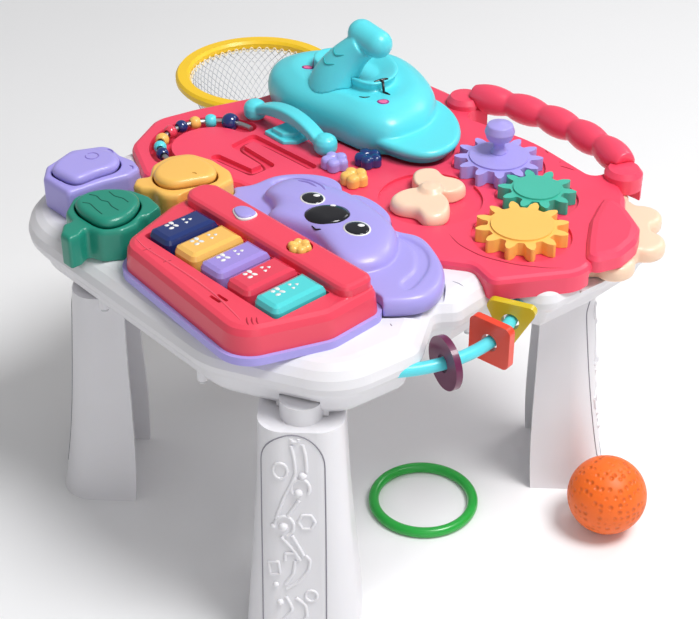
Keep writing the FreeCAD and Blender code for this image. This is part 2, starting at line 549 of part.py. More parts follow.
def piano_parts():
    band = slab(inset(CASE, -BASE_BAND), DECK_TOP, CASE_Z[0]).cut(slab(inset(CASE, 12), DECK_TOP - EPS, CASE_Z[0] + EPS))
    z0, z1 = CASE_Z
    case = crowned(CASE, [(z0, 0.0), (z1 - 6, 1.5), (z1 - 1.5, 3.5), (z1, 7.0)])
    bar = crowned([(-104, BAR_Y[0], 13), (76, BAR_Y[0], 8), (76, BAR_Y[1], 8), (-104, BAR_Y[1], 13)],
                  [(z0 + 5, 0.0), (BAR_TOP - 3, 0.5), (BAR_TOP - 1, 1.6), (BAR_TOP, 4.0)])
    case = case.fuse(bar)
    width = KEY_PITCH * 4 + KEY_W
    well = slab([(KEY_X0 - 1.5, KEY_Y[0] - 1.5, 3), (KEY_X0 + width + 1.5, KEY_Y[0] - 1.5, 3),
                 (KEY_X0 + width + 1.5, KEY_Y[1] + 0.6, 1), (KEY_X0 - 1.5, KEY_Y[1] + 0.6, 1)], KEY_WELL_Z, BAR_TOP + EPS)
    slits = [slab([(x, y - 1.2, 1), (x + 11, y - 1.2, 1), (x + 11, y + 1.2, 1), (x, y + 1.2, 1)], z1 - 5, z1 + EPS)
             for x, y in [(10 + 2 * k, -137 + 4.5 * k) for k in range(2)]]
    mode = rod(*MODE_BUTTON, BAR_TOP - 5, BAR_TOP + EPS, 6.9)
    volume = rod(*VOLUME_BUTTON, BAR_TOP - 5, BAR_TOP + EPS, 9.4)
    parts["piano_case"] = cut(case, well, mode, volume, *slits).removeSplitter()
    parts["piano_base"] = band
    for k, name in enumerate(KEYS):
        x0 = KEY_X0 + KEY_PITCH * k
        corners = [(x0, KEY_Y[0], 6), (x0 + KEY_W, KEY_Y[0], 6), (x0 + KEY_W, KEY_Y[1], 2), (x0, KEY_Y[1], 2)]
        z0, z1 = KEY_Z
        key = crowned(corners, [(z0, 0.0), (z1 - 5, 0.4), (z1 - 1.6, 2.0), (z1, 5.0)])
        parts[name] = key.cut(slab(inset(corners, 2.4), z0 - EPS, z1 - 6))
        stem = rod(x0 + KEY_W / 2, KEY_Y[0] + 10, z0 + 0.5, z1 - 5, 3)
        parts[name] = fuse(parts[name], stem)


def petals(x, y, r, n, spread, z0, z1):
    """Puffy petals round a middle."""
    lobes = []
    for k in range(n):
        d = turn(360 / n * k + 90) * spread
        profile = [(0, z0), (r, z0), (r, z1 - 3.2), (r * 0.82, z1 - 1.2), (r * 0.45, z1 - 0.2), (0, z1)]
        lobes.append(lathe(profile, (x + d.x, y + d.y)))
    return rod(x, y, z0, z1 - 2, spread).fuse(lobes).removeSplitter()


def koala_pad():
    pad = swell(KOALA, KOALA_C, KOALA_RISE)
    pad = pad.cut([pocket(points, KOALA_C, EAR_FLOOR, 1.0) for points in KOALA_EARS])
    pad = pad.fuse(swell(KOALA_HEAD, KOALA_HEAD_C, KOALA_HEAD_RISE))
    bar = slab([(-108, -70, 2), (90, -70, 2), (90, BAR_Y[1] + 0.5, 2), (-108, BAR_Y[1] + 0.5, 2)], DECK_TOP - 5, 280)
    bar = bar.common(slab(inset(CASE, -BASE_BAND - GAP), DECK_TOP - 5, 280))
    case_room = slab(inset(CASE, -BASE_BAND - GAP), DECK_TOP - 5, 280)
    return max(cut(pad, bar, case_room, block_room(CHICK, 230)).Solids, key=lambda s: s.Volume)


def elephant_parts():
    drum = swell(HEAD, HEAD_C, HEAD_RISE)
    drum = drum.fuse([swell(EAR_RIGHT, EAR_RIGHT_C, EAR_RIGHT_RISE), swell(EAR_LEFT, EAR_LEFT_C, EAR_LEFT_RISE)])
    wires = []
    for i, (x, y, z, r) in enumerate(TRUNK):
        nxt = TRUNK[min(i + 1, len(TRUNK) - 1)]
        prev = TRUNK[max(i - 1, 0)]
        d = Vector(nxt[0] - prev[0], nxt[1] - prev[1], nxt[2] - prev[2])
        wires.append(Part.Wire([Part.makeCircle(r, Vector(x, y, z), d)]))
    trunk = Part.makeLoft(wires, True, False)
    x, y, z = TRUNK_TIP
    tips = [Vector(x + s * TRUNK_TIP_HALF, y, z - s * 1.5) for s in (-1, 1)]
    ends = [Part.makeSphere(TRUNK_TIP_R, tip) for tip in tips]
    trunk = trunk.fuse(ends + [bar_between(*tips, TRUNK_TIP_R)]).removeSplitter()
    parts["elephant_drum"] = max(drum.Solids, key=lambda s: s.Volume)
    parts["elephant_trunk"] = max(trunk.cut(drum).Solids, key=lambda s: s.Volume)


def handset():
    (x0, y0), (x1, y1) = HANDSET_ENDS
    z = HANDSET_Z
    mid = (x0 + x1) / 2
    y = (y0 + y1) / 2 - HANDSET_W / 2

    def at(x, up):
        return Vector(x, y, z + up)

    top = Part.Arc(at(x0, 9), at(mid, 9 + HANDSET_RISE), at(x1, 9))
    under = Part.Arc(at(x1, 2), at(mid, 1 + HANDSET_RISE * 0.8), at(x0, 2))
    edges = [top, Part.LineSegment(at(x1, 9), at(x1, 2)), under, Part.LineSegment(at(x0, 2), at(x0, 9))]
    grip = Part.Face(Part.Wire([e.toShape() for e in edges])).extrude(Vector(0, HANDSET_W, 0))
    long_edges = [e for e in grip.Edges if e.Length > 60]
    grip = grip.makeFillet(2.5, long_edges)
    r = HANDSET_END_R
    profile = [(0, z), (r - 2, z), (r, z + 3), (r, z + 9), (r - 1.5, z + 12.5), (r - 5, z + 15), (0, z + 15.6)]
    ends = [lathe(profile, place) for place in HANDSET_ENDS]
    return grip.fuse(ends).removeSplitter()


def animal_block(name, corners, button_points, centre, rooms):
    top = BLOCK_TOP
    base = crowned(corners, [(DECK_TOP, 0.0), (top - 3.5, 0.0), (top - 1.0, 0.9), (top, 2.4)])
    base = cut(base, *rooms)
    base = max(base.Solids, key=lambda s: s.Volume)
    parts[name + "_base"] = base.cut(pocket(button_points, centre, DECK_TOP + 8, 1.02)).removeSplitter()
    rise = [(DECK_TOP + 12, 0.985), (top + 1.5, 0.985), (top + 4.0, 0.96), (top + 5.4, 0.9), (top + 6.2, 0.78)]
    parts[name + "_button"] = swell(button_points, centre, rise)


def animals():
    case_room = slab(inset(CASE, -BASE_BAND - GAP), DECK_TOP - 5, 300)
    animal_block("hippo", HIPPO, HIPPO_BUTTON, HIPPO_C, [block_room(FISH, 230), block_room(CHICK, 230)])
    animal_block("chick", CHICK, CHICK_BUTTON, CHICK_C, [block_room(FISH, 230), case_room])
    animal_block("fish", FISH, FISH_BUTTON, FISH_C, [case_room])


def hoop():
    x, y, z = HOOP
    r0, r1 = HOOP_R
    band = lathe([(r0 + 2, z - 4.5), (r1 - 2, z - 4.5), (r1, z - 2), (r1, z + 2), (r1 - 2, z + 4.5), (r0 + 2, z + 4.5),
                  (r0, z + 2), (r0, z - 2)], (x, y))
    to_deck = Vector(-150 - x, 100 - y, 0).normalize()
    root = Vector(x, y, z) + to_deck * (r1 - 2)
    tip = root + to_deck * 60
    arm = slab([(root.x - 9, root.y - 13, 2), (tip.x, tip.y - 13, 2), (tip.x + 4, tip.y + 13, 2), (root.x + 6, root.y + 13, 2)],
               z - 4.5, z + 3.5)
    outside = slab(inset(DECK, 6.0), z - 30, z + 30)
    arm = arm.cut(outside).cut(parts["upper_deck"]).cut(parts["lower_tray"]).cut(rod(x, y, z - 9, z + 9, r1 - 3))
    return band.fuse(arm).removeSplitter()


def hoop_net():
    x, y, z = HOOP
    (ra, rb), (za, zb) = NET_R, NET_Z
    skirt = lathe([(ra, za), (rb, zb), (0, zb), (0, zb + NET_WALL), (rb - NET_WALL, zb + NET_WALL), (ra - NET_WALL, za)], (x, y))
    holes = []
    rows = 4
    count = 18
    for row in range(rows):
        f = (row + 0.6) / (rows + 0.2)
        r = ra + (rb - ra) * f
        zc = za + (zb - za) * f
        half_h = 5.6
        half_w = math.pi * r / count * 0.80
        for k in range(count):
            a = 360.0 / count * (k + 0.5 * (row % 2))
            d = turn(a)
            t = turn(a + 90)
            c = Vector(x, y, zc) + d * (r - 14)
            up = Vector(0, 0, 1)
            pts = [c + up * half_h, c + t * half_w, c - up * half_h, c - t * half_w]
            holes.append(Part.Face(Part.makePolygon(pts + pts[:1])).extrude(d * 28))
    for ring_r, n in ((10, 5), (22, 10)):
        for k in range(n):
            d = turn(360.0 / n * k)
            holes.append(rod(x + d.x * ring_r, y + d.y * ring_r, zb - EPS, zb + 4, 4.4))
    net = skirt.cut(holes)
    return max(net.Solids, key=lambda s: s.Volume)


def rail_parts():
    parts["ring_rail"] = rail_pipe(TUBE_R, *TUBE_SPAN)

    def washer(name, corners, thick, bore):
        a = RING_ANGLES[name]
        p, d = tube_end(a)
        plate = slab(corners, -thick / 2, thick / 2).cut(rod(0, 0, -thick, thick, bore))
        rim = slab(inset(corners, 3.0), thick / 2 - 0.8, thick / 2 + EPS).cut(slab(inset(corners, 5.0), -thick, thick + EPS))
        plate = plate.cut(rim)
        up = Vector(0, 0, 1)
        across = d.cross(up)
        plate.Placement = FreeCAD.Placement(p, FreeCAD.Rotation(up, across, d, "ZXY"))
        parts[name] = plate

    washer("rail_disc", [(21 * math.cos(k), 21 * math.sin(k), 18) for k in [math.pi / 4 * n for n in range(8)]], 5.0, 6.6)
    washer("rail_square", [(17, -17, 5), (17, 17, 5), (-17, 17, 5), (-17, -17, 5)], 6.0, 6.6)
    washer("rail_triangle", [(15, -21, 5), (-25, 0, 5), (15, 21, 5)], 6.0, 6.6)


def inner_parts():
    z = TRAY_BOTTOM + WALL
    parts["battery_door"] = slab(inset(DOOR, 0.4), TRAY_BOTTOM, TRAY_BOTTOM + WALL - 0.4)
    box = slab([(-98, 34, 4), (-16, 34, 4), (-16, 114, 4), (-98, 114, 4)], z, z + 19)
    parts["battery_box"] = box.cut(slab(DOOR, z - EPS, z + 16.5))
    cells = [Part.makeCylinder(7.1, 50, Vector(-82, 52 + 16.5 * k, z + 8.5), Vector(1, 0, 0)) for k in range(3)]
    parts["batteries"] = Part.makeCompound(cells)
    parts["circuit_board"] = slab([(-70, -60, 3), (50, -60, 3), (50, 10, 3), (-70, 10, 3)], z + 8, z + 9.6)
    stands = [rod(sx, sy, z, z + 8, 3.0) for sx in (-62, 42) for sy in (-52, 2)]
    parts["lower_tray"] = parts["lower_tray"].fuse(stands).removeSplitter()
    parts["speaker"] = lathe([(0, z + 1.2), (6, z + 1.2), (23, z + 8), (25, z + 8), (25, z + 0.2), (28, z + 0.2), (28, z + 11), (14, z + 14),
                              (14, z + 22), (0, z + 22)], SPEAKER)
    screws = [fuse(rod(sx, sy, TRAY_BOTTOM - 1, SEAM - 1, 1.55), rod(sx, sy, TRAY_BOTTOM - 1.4, TRAY_BOTTOM, 3.0)) for sx, sy in SCREWS]
    parts["case_screws"] = Part.makeCompound(screws)


def bead(r):
    """Barrel bead about the vertical, bored for the rail."""
    h = 0.75 * r
    bore = RAIL_R + 0.9
    rim = math.sqrt(r * r - h * h)
    a, b, c, d = (Vector(*v) for v in ((bore, 0, -h), (rim, 0, -h), (rim, 0, h), (bore, 0, h)))
    edges = [Part.LineSegment(a, b), Part.Arc(b, Vector(r, 0, 0), c), Part.LineSegment(c, d), Part.LineSegment(d, a)]
    face = Part.Face(Part.Wire([e.toShape() for e in edges]))
    return face.revolve(Vector(0, 0, 0), Vector(0, 0, 1), 360)


def moving_bits():
    purple, green, yellow = gear_phases()
    parts["purple_gear"] = gear(PURPLE_GEAR, purple)
    parts["green_gear"] = gear(GREEN_GEAR, green)
    parts["yellow_gear"] = gear(YELLOW_GEAR, yellow)
    kx, ky = PURPLE_GEAR[0] - 4, PURPLE_GEAR[1] + 4
    z = GEAR_Z[1] + 1.4
    parts["crank_knob"] = lathe([(0, z), (7, z), (4.6, z + 4), (4.6, z + 9), (10, z + 12), (12, z + 18), (10, z + 24), (0, z + 27)], (kx, ky))
    parts["finger_wheel"] = finger_wheel()
    sx, sy = SPINNER
    front = [(-8, -4), (-15, -18), (-12, -31), (2, -33), (12, -28), (24, -30), (32, -20), (28, -8), (12, 2)]
    back = [(8, 4), (15, 16), (12, 26), (0, 29), (-10, 25), (-22, 28), (-31, 18), (-26, 6), (-12, -2)]
    wings = []
    for pts in (front, back):
        c = (sx, sy)
        wings.append(swell([(sx + px, sy + py) for px, py in pts], c, [(241.2, 1.0), (247, 1.0), (250, 0.95), (251.5, 0.82)]))
    hub = lathe([(0, 241.2), (10, 241.2), (10, 252), (7, 255), (0, 256)], SPINNER)
    parts["heart_spinner"] = hub.fuse(wings).cut(rod(sx, sy, 240, 249, POST_R + RUN)).removeSplitter()
    for name, (x, y) in FLOWERS.items():
        shape = petals(x, y, 4.9, 5, 6.3, BOARD_TOP + 0.3, BOARD_TOP + 10)
        parts[name] = shape.cut(rod(x, y, BOARD_TOP - 1, BOARD_TOP + 5.4, 2.6 + RUN))
    rail = Part.Arc(*[track_point(a, BEAD_Z) for a in (TRACK_SPAN[0] - 9, 175, TRACK_SPAN[1] + 9)]).toShape()
    section = Part.Wire([Part.makeCircle(RAIL_R, track_point(TRACK_SPAN[0] - 9, BEAD_Z), turn(TRACK_SPAN[0] + 81))])
    parts["bead_rail"] = Part.Wire([rail]).makePipeShell([section], True, True).cut(parts["play_board"])
    for name, a, r in BEADS:
        p = track_point(a, BEAD_Z)
        d = turn(a + 90)
        parts[name] = bead(r)
        parts[name].Placement = FreeCAD.Placement(p, FreeCAD.Rotation(Vector(0, 0, 1), d))
    parts["mode_button"] = lathe([(0, BAR_TOP - 2), (6.5, BAR_TOP - 2), (6.5, BAR_TOP + 2), (4.5, BAR_TOP + 3.5), (0, BAR_TOP + 4)], MODE_BUTTON)
    flower = petals(*VOLUME_BUTTON, 3.6, 6, 5.2, BAR_TOP - 2, BAR_TOP + 3)
    parts["volume_button"] = flower


def loose_parts():
    parts["play_ball"] = Part.makeSphere(BALL[2], Vector(*BALL))
    x, y, r, big = LOOSE_RING
    parts["toss_ring"] = Part.makeTorus(big, r, Vector(x, y, r)).cut(Part.makeBox(200, 200, 0.5, Vector(x - 100, y - 100, 0)))
    parts["toss_ring"].translate(Vector(0, 0, -0.5))


def main():
    os.makedirs("parts", exist_ok=True)
    parts["upper_deck"] = deck_shell()
    parts["lower_tray"] = tray_shell()
    for name, place in LEGS.items():
        parts[name] = leg(name, *place)
    parts["play_board"] = play_board()
    parts["carry_handle"] = carry_handle(parts["play_board"])
    piano_parts()
    parts["koala_pad"] = koala_pad()
    elephant_parts()
    parts["handset"] = handset()
    animals()
    parts["hoop_ring"] = hoop()
    parts["hoop_net"] = hoop_net()
    rail_parts()
    inner_parts()
    moving_bits()
    loose_parts()
    for name, shape in parts.items():
        shape = shape.copy()
        shape.translate(Vector(-ORIGIN[0], -ORIGIN[1], 0))
        shape.exportStep("parts/" + name + ".step")
        box = shape.BoundBox
        print(name, len(shape.Solids), round(shape.Volume), shape.isValid(), [round(v, 1) for v in (
            box.XMin, box.YMin, box.ZMin, box.XMax, box.YMax, box.ZMax)])


main()
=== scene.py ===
import json
import math

import bmesh
import bpy
import numpy as np
from mathutils import Matrix, Vector
from mathutils.bvhtree import BVHTree


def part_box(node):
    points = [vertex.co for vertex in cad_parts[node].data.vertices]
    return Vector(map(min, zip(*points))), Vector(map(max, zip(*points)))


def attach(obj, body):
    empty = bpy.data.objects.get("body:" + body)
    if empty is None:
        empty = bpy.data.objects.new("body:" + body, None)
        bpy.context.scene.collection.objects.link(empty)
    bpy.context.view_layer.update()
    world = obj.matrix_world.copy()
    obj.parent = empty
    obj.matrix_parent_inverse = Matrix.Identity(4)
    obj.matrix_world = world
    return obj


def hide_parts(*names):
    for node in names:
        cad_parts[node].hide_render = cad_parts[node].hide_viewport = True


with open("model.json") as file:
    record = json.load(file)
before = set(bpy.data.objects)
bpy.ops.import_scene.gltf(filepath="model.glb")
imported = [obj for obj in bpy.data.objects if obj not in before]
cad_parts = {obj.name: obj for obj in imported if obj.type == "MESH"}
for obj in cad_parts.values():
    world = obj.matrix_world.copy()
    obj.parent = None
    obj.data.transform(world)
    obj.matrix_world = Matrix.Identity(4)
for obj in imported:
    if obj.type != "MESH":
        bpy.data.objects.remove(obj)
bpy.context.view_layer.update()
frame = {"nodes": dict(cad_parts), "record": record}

# Plan places are millimetres from the middle of the deck; this is that middle in the model's frame.
DECK_MIDDLE = (98.0, -45.25)
MM = 0.001
# Prints are dropped from this height, and their rims end this far below the surface
DROP_FROM = 600.0
SUNK = 0.6
TRUNK_SIGHT_Y = 40.0
TRUNK_AXIS_Y = 112.0

# The camera: turn, height, picture size and focal length in pixels, and the place it looks at
CAMERA_TURN = math.radians(47.3)
CAMERA_HEIGHT = math.radians(34.0)
PICTURE = (699.0, 619.0)
FOCAL_PX = 1600.0
PX_PER_MM = 1.37
AIM = (0.0, 0.0, 240.0)
AIM_PX = (350.0, 245.0)
SENSOR = 36.0

WHITE = (0.80, 0.79, 0.82)
BOARD_RED = (0.90, 0.065, 0.135)
CASE_RED = (0.84, 0.06, 0.11)
LAVENDER = (0.40, 0.35, 0.80)
NAVY = (0.008, 0.028, 0.16)
YELLOW = (0.93, 0.53, 0.12)
HOOP_YELLOW = (0.96, 0.60, 0.015)
KEY_RED = (0.80, 0.05, 0.10)
CYAN = (0.11, 0.73, 0.82)
KEY_CYAN = (0.08, 0.66, 0.68)
TEAL = (0.012, 0.26, 0.18)
GEAR_GREEN = (0.06, 0.48, 0.36)
PEACH = (0.93, 0.66, 0.48)
BLACK = (0.012, 0.012, 0.016)
PRINT_WHITE = (0.86, 0.86, 0.86)
BLUSH = (0.85, 0.16, 0.36)


def at(x, y, z):
    """A place on the table, in the model's frame."""
    return Vector(((x + DECK_MIDDLE[0]) * MM, (y + DECK_MIDDLE[1]) * MM, z * MM))


# Shader maths

class Value:
    """A socket that takes part in arithmetic."""

    def __init__(self, tree, socket):
        self.tree = tree
        self.socket = socket

    def maths(self, operation, *others):
        return self.tree.node("ShaderNodeMath", {"operation": operation},
                              dict(enumerate([self, *others])))

    def __add__(self, other):
        return self.maths("ADD", other)

    def __mul__(self, other):
        return self.maths("MULTIPLY", other)

    def __sub__(self, other):
        return self.maths("SUBTRACT", other)

    def __rsub__(self, other):
        return self.tree.node("ShaderNodeMath", {"operation": "SUBTRACT"}, {0: other, 1: self})

    def ramp(self, low, high):
        return self.tree.node("ShaderNodeMapRange", {"clamp": True},
                              {0: self, 1: low, 2: high, 3: 0.0, 4: 1.0})

    __radd__ = __add__
    __rmul__ = __mul__


class Shader:
    """One material's node tree."""

    def __init__(self, name):
        self.material = bpy.data.materials.new(name)
        self.material.use_nodes = True
        self.nodes = self.material.node_tree.nodes
        self.links = self.material.node_tree.links
        self.surface = self.nodes["Principled BSDF"]

    def node(self, kind, settings=None, values=None, out=0):
        n = self.nodes.new(kind)
        for key, value in (settings or {}).items():
            setattr(n, key, value)
        for key, value in (values or {}).items():
            self.put(n.inputs[key], value)
        return Value(self, n.outputs[out])

    def put(self, socket, value):
        if isinstance(value, Value):
            self.links.new(value.socket, socket)
        else:
            socket.default_value = value

    def set(self, **values):
        for key, value in values.items():
            self.put(self.surface.inputs[key.replace("_", " ")], value)

    def where(self):
        return self.node("ShaderNodeTexCoord", out=3)

    def noise(self, scale, detail=3.0, rough=0.5):
        return self.node("ShaderNodeTexNoise", {},
                         {"Vector": self.where(), "Scale": scale, "Detail": detail, "Roughness": rough})

    def blend(self, factor, a, b):
        sockets = {0: factor, 6: (*a, 1) if isinstance(a, tuple) else a,
                   7: (*b, 1) if isinstance(b, tuple) else b}
        return self.node("ShaderNodeMix", {"data_type": "RGBA"}, sockets, out=2)

    def bump(self, height, distance, strength=1.0):
        return self.node("ShaderNodeBump", {}, {"Height": height, "Distance": distance,
                                                "Strength": strength})


def shade(colour, k):
    return tuple(min(1.0, c * k) for c in colour)


def moulded(name, colour, rough=0.33, coat=0.15, soft=0.06, grain=1.0):
    """Injection moulded plastic: faint flow marks, a fine skin, duller rubbed edges and painted shade
    darkening the creases.
    """
    s = Shader(name)
    flow = s.noise(14.0, 2.0).ramp(0.3, 0.7)
    skin = s.noise(900.0, 2.0)
    edge = s.node("ShaderNodeNewGeometry", out=7)
    worn = edge.ramp(0.53, 0.62)
    # Painted shade: concave creases are darkened towards 0.62 of the colour, standing in for the shade that
    # falls there.
    crease_shade = 1.0 - edge.ramp(0.40, 0.49)
    tint = s.blend(flow * 0.5, shade(colour, 0.96), shade(colour, 1.04))
    tint = s.blend(crease_shade * 0.35, tint, shade(colour, 0.62))
    tint = s.blend(worn * 0.25, tint, shade(colour, 1.18))
    s.set(Base_Color=tint, Roughness=flow * 0.05 + worn * 0.10 + rough, Coat_Weight=coat,
          Coat_Roughness=0.12)
    s.set(Subsurface_Weight=soft, Subsurface_Radius=(0.004, 0.003, 0.002), Subsurface_Scale=0.5)
    s.set(Normal=s.bump(skin, 0.00006 * grain, 0.5))
    return s.material


def printed(name, colour, rough=0.4):
    """Pad-printed ink with a slightly uneven film."""
    s = Shader(name)
    film = s.noise(260.0, 3.0)
    s.set(Base_Color=s.blend(film.ramp(0.3, 0.7), shade(colour, 0.9), colour),
          Roughness=film * 0.1 + (rough - 0.05))
    s.set(Normal=s.bump(film, 0.00003))
    return s.material


def metal(name, colour, rough):
    s = Shader(name)
    brushed = s.noise(400.0, 4.0)
    s.set(Base_Color=s.blend(brushed, shade(colour, 0.8), colour), Roughness=brushed * 0.2 + rough,
          Metallic=1.0)
    s.set(Normal=s.bump(brushed, 0.00004))
    return s.material


def dimpled(name, colour):
    """Soft vinyl ball with shallow round dimples, each darkened with painted shade."""
    s = Shader(name)
    cells = s.node("ShaderNodeTexVoronoi", {"feature": "F1"},
                   {"Vector": s.where(), "Scale": 190.0, "Randomness": 0.35})
    dimple_and_shade = 1.0 - cells.ramp(0.12, 0.42)
    # Painted shade: the colour is darkened inside each dimple. The same mask also gives the dimples their
    # bump.
    s.set(Base_Color=s.blend(dimple_and_shade * 0.55, colour, shade(colour, 0.62)),
          Roughness=s.noise(60.0) * 0.1 + 0.42)
    s.set(Normal=s.bump(1.0 - dimple_and_shade, 0.0012, 0.9), Subsurface_Weight=0.1, Subsurface_Scale=0.4)
    return s.material


def cord_net(name, colour):
    s = Shader(name)
    twist = s.node("ShaderNodeTexWave", {"bands_direction": "DIAGONAL"},
                   {"Vector": s.where(), "Scale": 500.0, "Distortion": 1.0})
    s.set(Base_Color=s.blend(twist, shade(colour, 0.78), colour), Roughness=twist * 0.1 + 0.7,
          Sheen_Weight=0.2)
    s.set(Normal=s.bump(twist, 0.0003))
    return s.material


MATERIALS = {
    "shell_white": moulded("white shell", WHITE, 0.36, 0.1),
    "board_red": moulded("red board", BOARD_RED, 0.34, 0.12),
    "case_red": moulded("red case", CASE_RED, 0.30, 0.2),
    "lavender": moulded("lavender parts", LAVENDER, 0.34),
    "navy": moulded("navy parts", NAVY, 0.14, 0.6, 0.0, 0.2),
    "sun_yellow": moulded("yellow parts", YELLOW, 0.34),
    "key_red_gloss": moulded("red key", KEY_RED, 0.14, 0.6, 0.03, 0.2),
    "cyan": moulded("cyan parts", CYAN, 0.32),
    "teal": moulded("teal parts", TEAL, 0.30),
    "peach": moulded("peach parts", PEACH, 0.32, 0.15, 0.12),
    "net_cord": cord_net("net cord", (0.80, 0.83, 0.88)),
    "rail_ring_maroon": moulded("maroon ring", (0.13, 0.008, 0.06), 0.25, 0.4, 0.0),
    "rail_ring_red": moulded("red ring", (0.80, 0.055, 0.02), 0.25, 0.4),
    "rail_ring_olive": moulded("olive ring", (0.62, 0.48, 0.01), 0.25, 0.4),
    "ball_orange": dimpled("dimpled vinyl", (0.94, 0.15, 0.008)),
    "ring_green": moulded("green ring", (0.012, 0.40, 0.045), 0.28, 0.3),
    "steel": metal("zinc plated steel", (0.62, 0.62, 0.64), 0.3),
    "circuit": printed("solder mask", (0.02, 0.22, 0.10), 0.35),
    "speaker_black": printed("paper cone", (0.04, 0.04, 0.042), 0.8),
    "battery_cell": printed("cell sleeve", (0.10, 0.10, 0.11), 0.3),
}
OWN_FINISH = {
    "hoop_ring": moulded("hoop yellow", HOOP_YELLOW, 0.34),
    "green_gear": moulded("gear green", GEAR_GREEN, 0.32),
    "key_cyan": moulded("cyan key", KEY_CYAN, 0.14, 0.6, 0.03, 0.2),
    "key_yellow": moulded("yellow key", YELLOW, 0.14, 0.6, 0.03, 0.2),
    "key_purple": moulded("lavender key", (0.36, 0.27, 0.72), 0.14, 0.6, 0.03, 0.2),
}
INK_BLACK = printed("black print", BLACK, 0.12)
INK_WHITE = printed("white print", PRINT_WHITE, 0.35)
INK_BLUSH = printed("blush print", BLUSH, 0.4)
INK_PLUM = printed("plum print", (0.30, 0.02, 0.22), 0.4)
INK_FAINT = printed("faint print", (0.78, 0.80, 0.80), 0.35)
SHADE_RED = moulded("red shadow line", (0.42, 0.012, 0.035), 0.5, 0.0)
# Painted highlight: a lighter copy of the case red, for the lit top of the case's front lip.
CASE_HIGHLIGHT = moulded("red ridge highlight", (0.88, 0.10, 0.16), 0.3, 0.2)
SHADE_LAVENDER = moulded("lavender shadow line", (0.24, 0.19, 0.56), 0.5, 0.0)
SHADE_CYAN = moulded("cyan shadow line", (0.03, 0.42, 0.46), 0.5, 0.0)
SHADE_TEAL = moulded("teal shadow line", (0.003, 0.10, 0.07), 0.5, 0.0)
SHADE_YELLOW = moulded("yellow shadow line", (0.50, 0.22, 0.02), 0.5, 0.0)
SHADE_WHITE = moulded("grey shadow line", (0.26, 0.25, 0.29), 0.6, 0.0)
TRIM = moulded("net trim", (0.93, 0.80, 0.55), 0.5, 0.0)

SLOTS = {entry["node"]: entry["material_slot"] for entry in frame["record"]["subparts"]}
BODY_OF = {node: body for body, nodes in frame["record"]["behaviour"]["bodies"].items()
           for node in nodes}


def finish_for(node):
    return OWN_FINISH.get(node, MATERIALS[SLOTS[node]])


def dress_nodes():
    for name, obj in frame["nodes"].items():
        obj.data.materials.clear()
        obj.data.materials.append(finish_for(name))


# Mesh helpers

def new_piece(name, verts, faces, material, body, smooth=True):
    mesh = bpy.data.meshes.new(name)
    mesh.from_pydata([tuple(v) for v in verts], [], faces)
    mesh.validate()
    mesh.update()
    obj = bpy.data.objects.new(name, mesh)
    bpy.context.scene.collection.objects.link(obj)
    mesh.materials.append(material)
    if smooth:
        mesh.shade_smooth()
    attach(obj, body)
    return obj


def surface_of(*nodes):
    """Tree for dropping points onto CAD nodes."""
    verts = []
    faces = []
    for node in nodes:
        mesh = frame["nodes"][node].data
        base = len(verts)
        verts += [v.co.copy() for v in mesh.vertices]
        faces += [[base + i for i in p.vertices] for p in mesh.polygons]
    return BVHTree.FromPolygons(verts, faces)


def drop(tree, x, y, fallback):
    hit = tree.ray_cast(at(x, y, DROP_FROM), Vector((0, 0, -1)))[0]
    return hit.z / MM if hit else fallback


def closed_curve(points, steps):
    """Smooth closed line through points."""
    n = len(points)
    out = []
    for i in range(n):
        p0, p1, p2, p3 = (np.array(points[(i + k) % n], float) for k in (-1, 0, 1, 2))
        for s in range(steps):
            t = s / steps
            out.append(tuple(0.5 * ((2 * p1) + (p2 - p0) * t + (2 * p0 - 5 * p1 + 4 * p2 - p3) * t * t
                                    + (3 * p1 - p0 - 3 * p2 + p3) * t ** 3)))
    return out


def sticker(name, points, tree, lift, material, body, steps=6, rings=5, crown=0.25,
            fallback=260.0):
    """A thin raised shape that follows the surface below it."""
    rim = closed_curve(points, steps) if steps > 1 else points
    cx = sum(p[0] for p in rim) / len(rim)
    cy = sum(p[1] for p in rim) / len(rim)
    verts = [at(cx, cy, drop(tree, cx, cy, fallback) + lift + crown)]
    n = len(rim)
    for k in range(1, rings + 1):
        f = k / rings
        for x, y in rim:
            px, py = cx + (x - cx) * f, cy + (y - cy) * f
            verts.append(at(px, py, drop(tree, px, py,
                                         fallback) + lift + crown * math.sqrt(max(0.0, 1 - f ** 4))))
    for x, y in rim:
        verts.append(at(x, y, drop(tree, x, y, fallback) - SUNK))
    faces = [(0, 1 + i, 1 + (i + 1) % n) for i in range(n)]
    for k in range(rings):
        a, b = 1 + k * n, 1 + (k + 1) * n
        faces += [(a + i, b + i, b + (i + 1) % n, a + (i + 1) % n) for i in range(n)]
    return new_piece(name, verts, faces, material, body)


def oval(cx, cy, rx, ry, turn=0.0, n=16):
    c, s = math.cos(turn), math.sin(turn)
    return [(cx + rx * math.cos(a) * c - ry * math.sin(a) * s,
             cy + rx * math.cos(a) * s + ry * math.sin(a) * c)
            for a in [2 * math.pi * k / n for k in range(n)]]


def soft_line(points, rounds=3):
    """An open line with more points and rounded turns."""
    line = []
    for (x0, y0), (x1, y1) in zip(points, points[1:]):
        line += [(x0 + (x1 - x0) * k / 6, y0 + (y1 - y0) * k / 6) for k in range(6)]
    line.append(points[-1])
    for _ in range(rounds):
        line = [line[0]] + [tuple(0.25 * a + 0.5 * b + 0.25 * c for a, b, c in zip(p, q, r))
                            for p, q, r in zip(line, line[1:], line[2:])] + [line[-1]]
    return line


